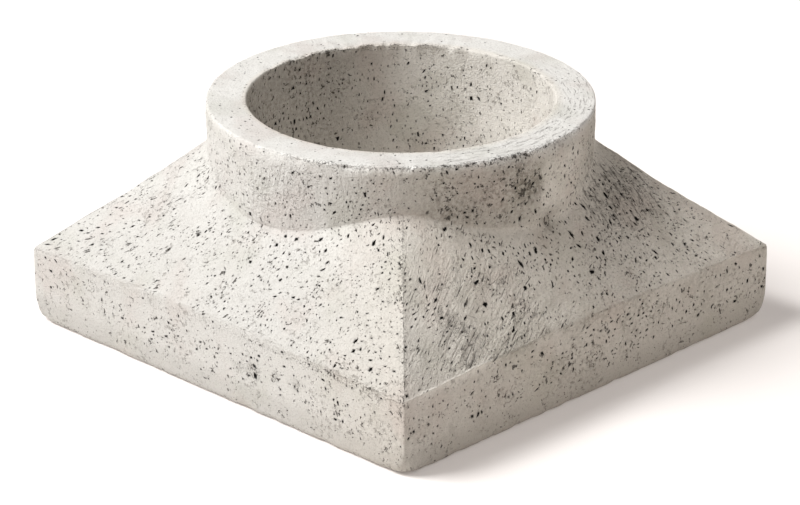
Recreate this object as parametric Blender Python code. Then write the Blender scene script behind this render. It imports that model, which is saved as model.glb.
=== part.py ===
"""Column base block, cast in one piece of concrete.

A low square slab has four sloping faces that rise to a round collar, and a bore runs right through
the collar and the slab. Lengths are in metres and angles in radians, with +Z up. The origin is in
the middle of the flat underside.
"""

import math

import bmesh
import bpy
import numpy as np

# Driving dimensions, from the bore outwards and from the underside upwards
BORE_RADIUS = 0.1165
COLLAR_WALL = 0.0305
SLOPE_RUN = 0.053  # from the collar to the slab's edge, midway along a side
EDGE_HEIGHT = 0.0575  # the slab's upright face, at its corners
SLOPE_PITCH = math.radians(42)
COLLAR_STAND = 0.038  # from where a hip meets the collar up to the rim

# The bulge of a sloping face midway along its side, above the plane between its two hips
FOOT_CROWN = 0.005  # at the slab's edge
HEAD_CROWN = 0.015  # at the collar

# Roundings
COLLAR_FILLET = 0.010  # the hollow between the slopes and the collar
BOTTOM_ROUNDING = 0.005
CORNER_ROUNDING = 0.003  # the slab's upright edges
WORN_CORNER_ROUNDING = 0.026  # the same edges at the underside, where the corners are worn
WORN_CORNER_HEIGHT = 0.022  # how far up the edges the wear reaches
RIM_ROUNDING = 0.0025
MOUTH_ROUNDING = 0.0025  # the bore's upper lip
OUTLET_ROUNDING = 0.003  # the bore's lower lip

# How finely the round shapes are cut into facets
SIDE_COLUMNS = 24
CORNER_COLUMNS = 4
BASE_ROWS = 6
SLOPE_ROWS = 4
ARC_ROWS = 4
BORE_STEPS = 96
CUTTER_REACH = 0.010  # how far the bore's cutter runs past both faces
SMOOTH_ANGLE = math.radians(28)

# The colour of dry pale concrete, as sRGB shares, and how it takes light
CONCRETE_SRGB = (0.84, 0.82, 0.79)
CONCRETE_ROUGHNESS = 0.9

# Sizes that follow from those above
COLLAR_RADIUS = BORE_RADIUS + COLLAR_WALL
HALF_SIDE = COLLAR_RADIUS + SLOPE_RUN
HIP_FOOT_HEIGHT = EDGE_HEIGHT + math.tan(SLOPE_PITCH) * (
    HALF_SIDE - COLLAR_RADIUS * math.cos(math.pi / 4)
)
RIM_HEIGHT = HIP_FOOT_HEIGHT + COLLAR_STAND


def clear_scene():
    """Remove every object, so that only the block is left."""
    for obj in list(bpy.data.objects):
        bpy.data.objects.remove(obj, do_unlink=True)


def concrete():
    """Pale, dry, matt concrete."""
    material = bpy.data.materials.new("cast_concrete")
    material.use_nodes = True
    shader = material.node_tree.nodes["Principled BSDF"]
    linear = [((share + 0.055) / 1.055) ** 2.4 for share in CONCRETE_SRGB]
    shader.inputs["Base Color"].default_value = (*linear, 1.0)
    shader.inputs["Roughness"].default_value = CONCRETE_ROUGHNESS
    shader.inputs["Metallic"].default_value = 0.0
    return material


def square_outline(half_side, rounding):
    """Plan points round a square with rounded corners, anticlockwise.

    Along each side the points lie at equal steps of azimuth, so that they face the points of the
    round collar.
    """
    reach = half_side - rounding
    azimuth = np.linspace(-1, 1, SIDE_COLUMNS + 1) * math.atan2(reach, half_side)
    side = np.stack([np.full(azimuth.shape, half_side), half_side * np.tan(azimuth)], axis=1)
    turn = np.linspace(0, math.pi / 2, CORNER_COLUMNS + 1)[1:-1]
    corner = reach + rounding * np.stack([np.cos(turn), np.sin(turn)], axis=1)
    quarter = np.concatenate([side, corner])
    quarter_turn = np.array([[0, 1], [-1, 0]])
    return np.concatenate([quarter @ np.linalg.matrix_power(quarter_turn, k) for k in range(4)])


def raised(plan, height):
    """Plan points given a height, either one for all or one each."""
    return np.column_stack([plan, np.broadcast_to(height, len(plan))])


class Slope:
    """The sloping faces, column by column: straight lines in plan, out from the block's axis."""

    def __init__(self, arris):
        """Arris is the plan outline of the slab, with one column at each of its points."""
        self.reach = np.hypot(arris[:, 0], arris[:, 1])
        self.direction = arris / self.reach[:, None]
        along, across = np.sort(np.abs(self.direction), axis=1).T[::-1]
        self.towards_side = along
        self.crown_share = 1 - (across / along) ** 2
        extra = self.crown_share * (HEAD_CROWN - FOOT_CROWN) / SLOPE_RUN
        self.angle = np.arctan((math.tan(SLOPE_PITCH) + extra) * along)

    def height(self, radius):
        """Height of the bulged slope at a distance from the axis."""
        inward = HALF_SIDE - radius * self.towards_side
        crown = FOOT_CROWN + (HEAD_CROWN - FOOT_CROWN) * inward / SLOPE_RUN
        return EDGE_HEIGHT + math.tan(SLOPE_PITCH) * inward + self.crown_share * crown

    def ring(self, radius, height):
        """A ring of points at a distance from the axis and a height, either one or one each."""
        return raised(self.direction * np.reshape(radius, (-1, 1)), height)

    def fillet(self, share):
        """A ring of the hollow fillet: share 0 touches the slope, and share 1 the collar."""
        centre_radius = COLLAR_RADIUS + COLLAR_FILLET
        centre_height = self.height(centre_radius) + COLLAR_FILLET / np.cos(self.angle)
        angle = math.pi + (1 - share) * (math.pi / 2 - self.angle)
        return self.ring(
            centre_radius + COLLAR_FILLET * np.cos(angle),
            centre_height + COLLAR_FILLET * np.sin(angle),
        )


def rounded_off(height, reach):
    """How much of a quarter round's inset is left at a height: 1 at the underside, 0 at its reach."""
    above = max(0, 1 - height / reach)
    return 1 - math.sqrt(1 - above * above)


def block_rings():
    """Rings of points from the underside's edge up to the rim, all with the same columns."""
    rings = []
    base_reach = max(BOTTOM_ROUNDING, WORN_CORNER_HEIGHT)
    for turn in np.linspace(0, math.pi / 2, BASE_ROWS + 1):
        height = base_reach * (1 - math.cos(turn))
        inset = BOTTOM_ROUNDING * rounded_off(height, BOTTOM_ROUNDING)
        wear = WORN_CORNER_ROUNDING - CORNER_ROUNDING
        rounding = CORNER_ROUNDING + wear * rounded_off(height, WORN_CORNER_HEIGHT)
        rings.append(raised(square_outline(HALF_SIDE - inset, rounding), height))

    slope = Slope(square_outline(HALF_SIDE, CORNER_ROUNDING))
    fillet_foot = slope.fillet(0)
    fillet_reach = np.hypot(fillet_foot[:, 0], fillet_foot[:, 1])
    for share in np.linspace(0, 1, SLOPE_ROWS, endpoint=False):
        radius = slope.reach + (fillet_reach - slope.reach) * share
        rings.append(slope.ring(radius, slope.height(radius)))
    for share in np.linspace(0, 1, ARC_ROWS + 1):
        rings.append(slope.fillet(share))

    for turn in np.linspace(0, math.pi / 2, ARC_ROWS + 1):
        radius = COLLAR_RADIUS - RIM_ROUNDING * (1 - math.cos(turn))
        height = RIM_HEIGHT - RIM_ROUNDING * (1 - math.sin(turn))
        rings.append(slope.ring(np.full(len(slope.reach), radius), height))
    return rings


def block_body(material):
    """The block without its bore: rings of edges bridged one to the next, then capped."""
    mesh = bpy.data.meshes.new("column_base_block")
    bm = bmesh.new()
    loops = []
    for ring in block_rings():
        verts = [bm.verts.new(point) for point in ring]
        loops.append([bm.edges.new((a, b)) for a, b in zip(verts, verts[1:] + verts[:1])])
    for lower, upper in zip(loops, loops[1:]):
        bmesh.ops.bridge_loops(bm, edges=lower + upper)
    for loop in (loops[0], loops[-1]):
        bmesh.ops.contextual_create(bm, geom=loop)
    bmesh.ops.recalc_face_normals(bm, faces=bm.faces)
    bm.to_mesh(mesh)
    bm.free()
    mesh.shade_smooth()
    mesh.set_sharp_from_angle(angle=SMOOTH_ANGLE)
    mesh.materials.append(material)
    body = bpy.data.objects.new("column_base_block", mesh)
    bpy.context.scene.collection.objects.link(body)
    return body


def arc(centre_x, centre_z, radius, start, end):
    """Points of an arc in the XZ plane, with its ends."""
    turns = np.linspace(start, end, ARC_ROWS + 1)
    return [(centre_x + radius * math.cos(t), centre_z + radius * math.sin(t)) for t in turns]


def bore_profile():
    """Half section of the bore, from the axis above the rim down to the axis under the slab."""
    mouth = BORE_RADIUS + MOUTH_ROUNDING
    outlet = BORE_RADIUS + OUTLET_ROUNDING
    quarter = math.pi / 2
    return [
        (0, RIM_HEIGHT + CUTTER_REACH),
        (mouth, RIM_HEIGHT + CUTTER_REACH),
        *arc(mouth, RIM_HEIGHT - MOUTH_ROUNDING, MOUTH_ROUNDING, quarter, 2 * quarter),
        *arc(outlet, OUTLET_ROUNDING, OUTLET_ROUNDING, 2 * quarter, 3 * quarter),
        (outlet, -CUTTER_REACH),
        (0, -CUTTER_REACH),
    ]


def bore_cutter():
    """The bore with its rounded lips, turned about the block's axis as a solid to take away."""
    profile = bore_profile()
    mesh = bpy.data.meshes.new("bore_cutter")
    points = [(x, 0, z) for x, z in profile]
    mesh.from_pydata(points, [(i, i + 1) for i in range(len(points) - 1)], [])
    cutter = bpy.data.objects.new("bore_cutter", mesh)
    bpy.context.scene.collection.objects.link(cutter)
    turned = cutter.modifiers.new("turned", "SCREW")
    turned.axis = "Z"
    turned.angle = 2 * math.pi
    turned.steps = turned.render_steps = BORE_STEPS
    turned.use_merge_vertices = True
    turned.merge_threshold = 0.00005
    turned.use_smooth_shade = True
    cutter.hide_render = True
    cutter.display_type = "WIRE"
    return cutter


def cut_bore(body, cutter):
    """Take the bore out of the block."""
    bore = body.modifiers.new("bore", "BOOLEAN")
    bore.operation = "DIFFERENCE"
    bore.solver = "EXACT"
    bore.object = cutter


clear_scene()
block = block_body(concrete())
cut_bore(block, bore_cutter())
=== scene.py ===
# %% [markdown]
# # A column base block in cast concrete
#
# The real object is one casting: a low square slab, four slopes that rise from it, a round collar
# and a bore right through. Stiff concrete is pressed into a mould, so the slab's upright faces and
# the bore copy smooth form boards, and the slopes are struck off by hand with a trowel.
#
# One piece in life is one mesh here: a single grid that closes on itself like a ring doughnut. Its
# columns go round the block, and its rows go up the outside, over the rim, down the bore and back
# under the slab. Such a grid has no pole and no open edge.

# %% Load the fixed frame
import math

import bpy
import numpy as np
from mathutils import Matrix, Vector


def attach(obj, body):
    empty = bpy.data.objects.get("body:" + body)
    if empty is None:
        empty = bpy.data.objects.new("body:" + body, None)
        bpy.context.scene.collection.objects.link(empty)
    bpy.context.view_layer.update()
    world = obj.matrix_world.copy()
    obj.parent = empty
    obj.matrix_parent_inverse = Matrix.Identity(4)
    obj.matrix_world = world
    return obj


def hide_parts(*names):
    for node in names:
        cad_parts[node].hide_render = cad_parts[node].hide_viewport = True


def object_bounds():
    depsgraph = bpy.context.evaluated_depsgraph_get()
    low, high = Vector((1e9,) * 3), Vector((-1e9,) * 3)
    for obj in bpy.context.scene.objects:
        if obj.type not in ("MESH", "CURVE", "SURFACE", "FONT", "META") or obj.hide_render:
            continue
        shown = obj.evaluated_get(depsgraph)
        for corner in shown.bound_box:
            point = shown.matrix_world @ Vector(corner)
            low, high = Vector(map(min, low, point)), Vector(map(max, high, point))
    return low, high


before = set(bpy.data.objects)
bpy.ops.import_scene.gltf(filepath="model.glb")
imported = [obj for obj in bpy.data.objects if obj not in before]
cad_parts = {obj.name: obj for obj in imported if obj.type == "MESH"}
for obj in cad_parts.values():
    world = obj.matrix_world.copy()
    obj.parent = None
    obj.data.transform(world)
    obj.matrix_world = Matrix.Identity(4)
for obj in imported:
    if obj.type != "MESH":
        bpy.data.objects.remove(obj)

cad_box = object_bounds()
print("solid model, lowest and highest corner:", *cad_box)

# %% [markdown]
# ## Sizes
#
# The slab's side, the rim's height and the radii of the collar and the bore are measured on the
# solid model, so this one can't drift away from it. The rest describes the form between them, and
# repeats how the solid was laid out.

# %% Measure the solid model and name the other sizes
MM = 0.001
NODE = "column_base_block"

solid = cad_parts[NODE].data
corners = np.empty(len(solid.vertices) * 3)
solid.vertices.foreach_get("co", corners)
corners = corners.reshape(-1, 3)
from_axis = np.hypot(corners[:, 0], corners[:, 1])

HALF_SIDE = corners[:, 0].max()
RIM_HEIGHT = corners[:, 2].max()
BORE_RADIUS = from_axis.min()
COLLAR_RADIUS = from_axis[corners[:, 2] > RIM_HEIGHT - 5 * MM].max()

EDGE_HEIGHT = 57.5 * MM  # the slab's upright face
SLOPE_PITCH = math.radians(42)
FOOT_CROWN = 5 * MM  # how far a slope bulges midway along the slab's edge
HEAD_CROWN = 15 * MM  # and midway along the collar
TIGHT_FILLET = 4 * MM  # where the collar stands on the lit slope, struck off with a trowel's edge
LOOSE_FILLET = 10 * MM  # on the other sides
BOTTOM_ROUNDING = 5 * MM
CORNER_ROUNDING = 1.6 * MM
WORN_CORNER_ROUNDING = 26 * MM
WORN_CORNER_HEIGHT = 22 * MM
ARRIS_ROUNDING = 1.1 * MM  # the edge between a slab face and its slope
RIM_ROUNDING = 1.8 * MM
OUTLET_ROUNDING = 3 * MM
FACE_INSET = 0.5 * MM  # the skin keeps this far inside the solid, so that its burrs stay in the box

print(f"side {2 * HALF_SIDE:.3f} m, height {RIM_HEIGHT:.3f} m, bore radius {BORE_RADIUS:.4f} m")

# %% [markdown]
# ## Noise that whole arrays can take
#
# Hand work is uneven at every scale. Value noise is enough for that: random numbers on a cubic
# lattice, blended smoothly in between. It is seeded, so the block comes out the same each time.

# %% Smooth noise
LATTICE = 64


def smooth_noise(points, wavelength, seed):
    """Each point takes a blend of the random numbers at the eight lattice corners round it, from -1
    to 1. Along each axis the blend follows 3t^2 - 2t^3, where t is the way from corner to corner."""
    table = np.random.default_rng(seed).uniform(-1, 1, (LATTICE, LATTICE, LATTICE))
    place = np.asarray(points) / wavelength
    first = np.floor(place).astype(int)
    t = place - first
    t = t * t * (3 - 2 * t)
    total = 0
    for corner in np.ndindex(2, 2, 2):
        x, y, z = np.moveaxis((first + corner) % LATTICE, -1, 0)
        share = np.where(corner, t, 1 - t).prod(axis=-1)
        total = total + share * table[x, y, z]
    return total


def layered_noise(points, wavelength, seed, layers=3):
    """A sum of smooth noises: each layer has half the wavelength and 0.6 of the weight before."""
    return sum(0.6**k * smooth_noise(points, wavelength / 2**k, seed + k) for k in range(layers))


def smooth_step(value, low, high):
    """0 below low and 1 above high, with 3t^2 - 2t^3 in between."""
    t = np.clip((value - low) / (high - low), 0, 1)
    return t * t * (3 - 2 * t)


print("halfway from 2 to 6 is", smooth_step(4, 2, 6))

# %% [markdown]
# ## The plan
#
# Each column of the grid leaves the block's axis at its own azimuth and crosses the round collar and
# the square slab's edge, with the slope between them in a straight line. A few columns turn each
# corner of the slab. Along a side their spacing is between even lengths, which suits the slab, and
# even angles, which suits the collar.

# %% Square outlines with rounded corners
SIDE_COLUMNS = 96
CORNER_COLUMNS = 4
EVEN_ANGLES = 0.75  # 0 spaces the columns by length along a side, and 1 by azimuth


def square_outline(half_side, rounding):
    """Plan points anticlockwise: y = half_side * tan(a) along a side, for azimuths a up to where the
    corner's quarter circle starts. The other three quarters are that one turned."""
    straight = half_side - rounding
    share = np.linspace(-1, 1, SIDE_COLUMNS + 1)
    swing = EVEN_ANGLES * math.atan2(straight, half_side)
    y = straight * np.tan(swing * share) / math.tan(swing)
    side = np.stack([np.full(y.shape, half_side), y], axis=1)
    turn = np.linspace(0, math.pi / 2, CORNER_COLUMNS + 1)[1:-1]
    corner = straight + rounding * np.stack([np.cos(turn), np.sin(turn)], axis=1)
    quarter = np.concatenate([side, corner])
    quarter_turn = np.array([[0, 1], [-1, 0]])
    return np.concatenate([quarter @ np.linalg.matrix_power(quarter_turn, k) for k in range(4)])


arris_plan = square_outline(HALF_SIDE - FACE_INSET, CORNER_ROUNDING)
arris_reach = np.hypot(*arris_plan.T)
heading = arris_plan / arris_reach[:, None]
COLUMNS = len(heading)
print("columns round the block:", COLUMNS)

# %% [markdown]
# ## The section, ring by ring
#
# The four slopes are planes at the hips and bulge between them, more at the collar than at the slab,
# because wet concrete was struck off between the mould's edge and the round collar. A hollow fillet
# leads from the slope into the collar. Every stretch of the section is a function that returns a
# ring of points, and straight stretches are blends of two rings.

# %% Rings of the section
towards_side = np.abs(heading).max(axis=1)
crown_share = 1 - (np.abs(heading).min(axis=1) / towards_side) ** 2


def ring(radius, height):
    """Points at a distance from the axis along every column, and at a height, one or one each."""
    radius = np.broadcast_to(radius, COLUMNS)
    return np.column_stack([heading * radius[:, None], np.broadcast_to(height, COLUMNS)])


def slope_height(radius):
    """The plane's height, which is the edge height plus tan(pitch) times the way in from the slab's
    side, plus the column's share of the crown, which grows linearly on the same way."""
    inward = HALF_SIDE - radius * towards_side
    crown = FOOT_CROWN + (HEAD_CROWN - FOOT_CROWN) * inward / (HALF_SIDE - COLLAR_RADIUS)
    return EDGE_HEIGHT + math.tan(SLOPE_PITCH) * inward + crown_share * crown


TIGHTEST_TOWARDS = [0.5, -0.87]  # a direction in plan
tightness = smooth_step(heading @ TIGHTEST_TOWARDS, 0.6, 0.9)
fillet = LOOSE_FILLET + (TIGHT_FILLET - LOOSE_FILLET) * tightness
print(f"fillet radius from {fillet.min() / MM:.0f} to {fillet.max() / MM:.0f} mm")


def fillet_ring(share):
    """A circle of the fillet's radius that touches slope and collar, at a share of its arc."""
    rise = crown_share * (HEAD_CROWN - FOOT_CROWN) / (HALF_SIDE - COLLAR_RADIUS)
    pitch = np.arctan((math.tan(SLOPE_PITCH) + rise) * towards_side)
    centre = COLLAR_RADIUS + fillet
    angle = math.pi + (1 - share) * (math.pi / 2 - pitch)
    height = slope_height(centre) + fillet / np.cos(pitch)
    return ring(centre + fillet * np.cos(angle), height + fillet * np.sin(angle))


def left_of_round(height, reach):
    """What a quarter round still cuts away at a height: 1 at the underside, 0 at its reach."""
    return 1 - math.sqrt(1 - max(0, 1 - height / reach) ** 2)


def base_ring(turn):
    """The slab's foot: a rounded bottom edge, and corners worn rounder towards the ground."""
    height = WORN_CORNER_HEIGHT * (1 - math.cos(turn))
    inset = FACE_INSET + BOTTOM_ROUNDING * left_of_round(height, BOTTOM_ROUNDING)
    wear = (WORN_CORNER_ROUNDING - CORNER_ROUNDING) * left_of_round(height, WORN_CORNER_HEIGHT)
    plan = square_outline(HALF_SIDE - inset, CORNER_ROUNDING + wear)
    return np.column_stack([plan, np.full(len(plan), height)])


def between(start, end, count):
    """Rings that blend from start up to, but not including, end."""
    share = np.arange(count)[:, None, None] / count
    return list(start + (end - start) * share)


def bend(start, corner, end, count):
    """A quadratic curve from start to end, pulled towards the corner: (1-t)^2, 2t(1-t) and t^2."""
    t = (np.arange(count) / count)[:, None, None]
    return list((1 - t) ** 2 * start + 2 * t * (1 - t) * corner + t**2 * end)


# %% [markdown]
# Where the trowel ran off the mould's edge it left a narrow flat lip of paste, a bright line along
# the right slope's edge. There the edge is set back further, and the slab's face rises to meet the
# lip's inner side, so that the strip between them is level.

# %% The lip on the right edge
LIP_WIDTH = 3.1 * MM
LIP_END = -85 * MM  # how far it reaches from the near corner along the right side
LIP_FADE = 45 * MM
LIP_WANDER = 0.5 * MM

edge_y = heading[:, 1] * arris_reach
right_columns = heading[:, 0] >= np.abs(heading[:, 1])
lip = right_columns * (1 - smooth_step(edge_y, LIP_END - LIP_FADE, LIP_END))
lip_wander = LIP_WANDER * layered_noise(ring(arris_reach, 0), 14 * MM, 53)
set_back = ARRIS_ROUNDING + lip * (LIP_WIDTH - ARRIS_ROUNDING + lip_wander)
print(f"the lip is {set_back.max() / MM:.1f} mm wide at most")

# %% Stack the rings into the closed grid
quarter = math.pi / 2
past_arris = ring(arris_reach - set_back, slope_height(arris_reach - set_back))
foot_height = slope_height(arris_reach) * (1 - lip) + past_arris[:, 2] * lip
slope_foot = ring(arris_reach, foot_height)
below_arris = slope_foot - [0, 0, ARRIS_ROUNDING]
rim_outer = ring(COLLAR_RADIUS, RIM_HEIGHT)
rim_inner = ring(BORE_RADIUS, RIM_HEIGHT)
outlet = ring(BORE_RADIUS, 0)
outlet_under = ring(BORE_RADIUS + OUTLET_ROUNDING, 0)
outlet_above = ring(BORE_RADIUS, OUTLET_ROUNDING)
rim_drop = np.array([0, 0, RIM_ROUNDING])
collar_end = rim_outer - rim_drop
rim_start = ring(COLLAR_RADIUS - RIM_ROUNDING, RIM_HEIGHT)
rim_end = ring(BORE_RADIUS + RIM_ROUNDING, RIM_HEIGHT)
mouth_end = rim_inner - rim_drop

stretches = {
    "underside": between(outlet_under, base_ring(0), 3),
    "foot": [base_ring(turn) for turn in np.linspace(0, quarter, 7, endpoint=False)],
    "face": between(base_ring(quarter), below_arris, 10),
    "arris": bend(below_arris, slope_foot, past_arris, 4),
    "slope": between(past_arris, fillet_ring(0), 30),
    "fillet": [fillet_ring(share) for share in np.linspace(0, 1, 5, endpoint=False)],
    "collar": between(fillet_ring(1), collar_end, 12),
    "rim edge": bend(collar_end, rim_outer, rim_start, 4),
    "rim": between(rim_start, rim_end, 8),
    "mouth": bend(rim_end, rim_inner, mouth_end, 4),
    "bore": between(mouth_end, outlet_above, 30),
    "outlet": bend(outlet_above, outlet, outlet_under, 2),
}
grid = np.array([row for rows in stretches.values() for row in rows])
row_names = np.array([name for name, rows in stretches.items() for _ in rows])
ROWS = len(grid)
print("rows round the section:", ROWS, "- quads in the plain grid:", ROWS * COLUMNS)


def on(**weights):
    """A weight for each row by the name of its stretch, eased over its neighbours by averaging."""
    words = {name.replace("_", " "): value for name, value in weights.items()}
    plain = np.array([float(words.get(name, 0)) for name in row_names])
    eased = (np.roll(plain, 1) + 2 * plain + np.roll(plain, -1)) / 4
    return eased[:, None]


def normals_of(points):
    """Unit normals of a closed grid: the cross product of its steps along columns and rows."""
    around = np.roll(points, -1, axis=1) - np.roll(points, 1, axis=1)
    up = np.roll(points, -1, axis=0) - np.roll(points, 1, axis=0)
    cross = np.cross(around, up)
    return cross / np.linalg.norm(cross, axis=2, keepdims=True)


# %% [markdown]
# ## The hand-made unevenness
#
# Formed faces are nearly flat, with a gentle waviness from the boards. A trowel drags grit along the
# slopes and leaves short marks. For marks that follow the tool, noise is read in drawn coordinates
# instead of in space. Round the collar, the rim and the bore they are the place on a cylinder and
# the length along the section from the rim's edge, so they have no seam. On a slope they are the
# place across the trowel's strokes and the length up the slope.

# %% Drawn coordinates round the block
DRAWN_RADIUS = 190 * MM
SWERVE = 14 * MM  # how far a stroke wanders sideways
SWERVE_LENGTH = 75 * MM

steps_up = np.linalg.norm(np.diff(grid, axis=0), axis=2)
run = np.concatenate([np.zeros((1, COLUMNS)), np.cumsum(steps_up, axis=0)])
wander = SWERVE * smooth_noise(grid, SWERVE_LENGTH, 11)
azimuth = np.arctan2(heading[:, 1], heading[:, 0]) + wander / DRAWN_RADIUS
from_rim = run - run[np.argmax(row_names == "rim")]
on_cylinder = np.stack(
    [DRAWN_RADIUS * np.cos(azimuth), DRAWN_RADIUS * np.sin(azimuth), from_rim], axis=2
)
print(f"length along the section: {run[-1].min():.3f} to {run[-1].max():.3f} m")

# %% [markdown]
# The strokes sweep sideways as they climb, flatter at the slab's edge and steeper at the collar. If
# the lean's tangent falls evenly from one value to the other over the slope's length, a stroke's
# sideways way is low * c - (low - high) * c^2 / (2 * length) after a climb c. Taking that away from
# the place along the edge gives the place across the strokes.

# %% Drawn coordinates on the slopes
OUTWARD = np.array([[1, 0], [0, 1], [-1, 0], [0, -1]])  # right side, both far sides, left side
ALONG_EDGE = np.array([[0, 1], [-1, 0], [0, -1], [1, 0]])
LEAN_AT_EDGE = np.array([1.3, 0.5, 0.3, 0.6])
LEAN_AT_COLLAR = np.array([0.5, 0.2, 0.1, 0.4])

side = np.argmax(heading @ OUTWARD.T, axis=1)
on_slopes = np.isin(row_names, ["arris", "slope", "fillet"])
climb = run - run[np.argmax(on_slopes)]
slope_length = climb[on_slopes].max(axis=0)
falling = (LEAN_AT_EDGE - LEAN_AT_COLLAR)[side] / (2 * slope_length)
along_edge = np.einsum("rcd,cd->rc", grid[..., :2], ALONG_EDGE[side])
across = along_edge - LEAN_AT_EDGE[side] * climb + falling * climb**2 + wander
across /= np.hypot(1, (LEAN_AT_EDGE + LEAN_AT_COLLAR)[side] / 2)  # slanting strokes stay as wide
on_plane = np.stack([across, side + np.zeros_like(run), run], axis=2)
print(f"a slope is {slope_length.min() / MM:.0f} to {slope_length.max() / MM:.0f} mm long")

# %% Where the block is lit, trowelled, wrinkled and torn
left_side = smooth_step(-grid[..., 1], 120 * MM, 190 * MM)  # the side that the light falls on
right_side = smooth_step(grid[..., 0], 120 * MM, 190 * MM) * (1 - left_side)
by_near_hip = smooth_step(-grid[..., 1], 40 * MM, 150 * MM)


def patch(centre, reach):
    """1 at a point in millimetres, fading as exp(-d^2) with the distance in units of its reach."""
    return np.exp(-((np.linalg.norm(grid - np.array(centre) * MM, axis=2) / (reach * MM)) ** 2))


torn = np.maximum(patch((146, 80, 121), 37), patch((143, 98, 117), 33))  # beside the collar
trowelled = on(slope=1, fillet=1, arris=1) + np.zeros(COLUMNS)
uneven = smooth_step(smooth_noise(grid, 30 * MM, 17), -0.35, 0.35)
wrinkled = np.clip(
    on(slope=1, fillet=0.6, arris=0.4)
    * (0.22 + right_side * (0.13 + uneven * (0.25 + 0.6 * by_near_hip)) + 0.7 * torn)
    + on(collar=0.55, bore=0.2) * (0.4 + 0.6 * uneven),
    0, 1,
)
print(f"wrinkled on average: {wrinkled.mean():.2f}")

# %% Waviness, furrows and lumps
stroke_space = np.where(on_slopes[:, None, None], on_plane, on_cylinder) * [1, 1, 0.8]
furrows = layered_noise(stroke_space, 6 * MM, 21, layers=2)
ridges = 1 - 2 * np.abs(layered_noise(stroke_space, 10 * MM, 25, layers=2))
lumps = layered_noise(grid, 6 * MM, 27, layers=2)
relief = (
    on(face=0.25, slope=0.8, fillet=0.7, collar=0.5, rim=0.35, bore=0.4) * MM
    * layered_noise(grid, 46 * MM, 31, layers=2)
    + on(face=0.12, foot=0.15, slope=0.34, fillet=0.35, collar=0.3, rim=0.3, bore=0.2) * MM
    * layered_noise(grid, 13 * MM, 37, layers=2)
    + wrinkled * (0.42 * furrows + 0.30 * ridges + 0.30 * lumps) * MM
)
print(f"waves and furrows from {relief.min() / MM:.2f} to {relief.max() / MM:.2f} mm")

# %% [markdown]
# ## The big blemishes
#
# A few places are listed one by one: a scraped patch on the left slab face, nicks on the near hip,
# hollows in and under the collar, a gap in the rim's inner edge, and a smear of paste on the
# collar's right side, which ends on its left in a step of a millimetre.

# %% Scrapes, hollows, nicks and a smear
DENTS = {  # centres, reaches and depths in millimetres
    "scrapes on the left face": [((46, -200, 33), 6.0, 1.2), ((91, -200, 37), 3.5, 0.9)],
    "hollows in and under the collar": [((146, -16, 155), 10.0, 1.7), ((148, 4, 121), 7.0, 1.8)],
    "gap in the rim's inner edge": [((-115, -23, 181), 5.0, 2.0)],
    "nicks down the near hip": [
        ((176, -176, 79), 2.5, 1.2), ((183, -183, 73), 2.2, 1.1), ((190, -190, 66), 2.5, 1.2),
    ],
    "gouge in the bore": [((-71, 92, 121), 4.0, 0.8)],
}


def rows_of(table):
    """All rows of a table that is grouped by place, as one list."""
    return [row for rows in table.values() for row in rows]


for centre, reach, depth in rows_of(DENTS):
    relief -= depth * MM * patch(centre, reach)

crumbs = layered_noise(grid, 7 * MM, 43, layers=2)
x, y, z = np.moveaxis(grid, -1, 0)
smear = (
    on(collar=1) * smooth_step(y + 2 * MM * crumbs, -4 * MM, -1 * MM)
    * (1 - smooth_step(y, 30 * MM, 60 * MM)) * (x > 0)
    * smooth_step(z, 124 * MM, 136 * MM) * (1 - smooth_step(z, 162 * MM, 176 * MM))
)
SMEAR_THICKNESS = 1.1 * MM
relief += SMEAR_THICKNESS * smear
print(f"dents: {len(rows_of(DENTS))}; the smear covers {(smear > 0.5).sum()} points")

# %% [markdown]
# ## The crumbled edges
#
# Sharp edges of stiff concrete crumble as the mould comes off: here the slab's arris towards its
# near end, the rim's front, the bore's lip at the back and a little of the near hip. Noise that is
# cut off above a low height bites into an edge and adds little or nothing to it.

# %% Where the edges crumbled
CHIPPED_TOWARDS = [0.85, -0.53, 0]  # the rim's front
TORN_LIP_TOWARDS = [-0.86, 0.5, 0]  # the bore's lip at the back
SCRAPES = [  # where the left face is scraped, the biggest first
    ((46, -200, 33), 7.0),
    ((30, -200, 32), 4.0),
    ((69, -200, 37), 3.5),
    ((91, -200, 37), 4.5),
    ((131, -200, 31), 3.5),
]


def at_edge(first, second, reach):
    """1 where both distances are zero, fading as exp(-d^2) with their hypotenuse over the reach."""
    return np.exp(-((np.hypot(first, second) / (reach * MM)) ** 2))


chipped_front = smooth_step(grid @ CHIPPED_TOWARDS, 60 * MM, 130 * MM)
back_lip = smooth_step(grid @ TORN_LIP_TOWARDS, 75 * MM, 105 * MM)
near_end = patch((130, -200, 57), 75) * left_side
from_centre = np.hypot(x, y)
outer_edge = at_edge(from_centre - COLLAR_RADIUS, RIM_HEIGHT - z, 3.5) * chipped_front
inner_edge = at_edge(from_centre - BORE_RADIUS, RIM_HEIGHT - z, 3.0) * back_lip
near_hip = at_edge(x + y, 0, 4.0) * on(slope=1, fillet=0.5, face=0.3)
left_arris = at_edge(y + HALF_SIDE, z - EDGE_HEIGHT, 4.0) * left_side
scraped = sum(patch(centre, reach) for centre, reach in SCRAPES)
crumbly = outer_edge + 0.8 * inner_edge + 0.6 * near_hip
crumbly = np.clip(crumbly + left_arris * (0.4 + 0.4 * near_end) + scraped, 0, 1)
print(f"crumbly on average: {crumbly.mean():.3f}")

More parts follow.
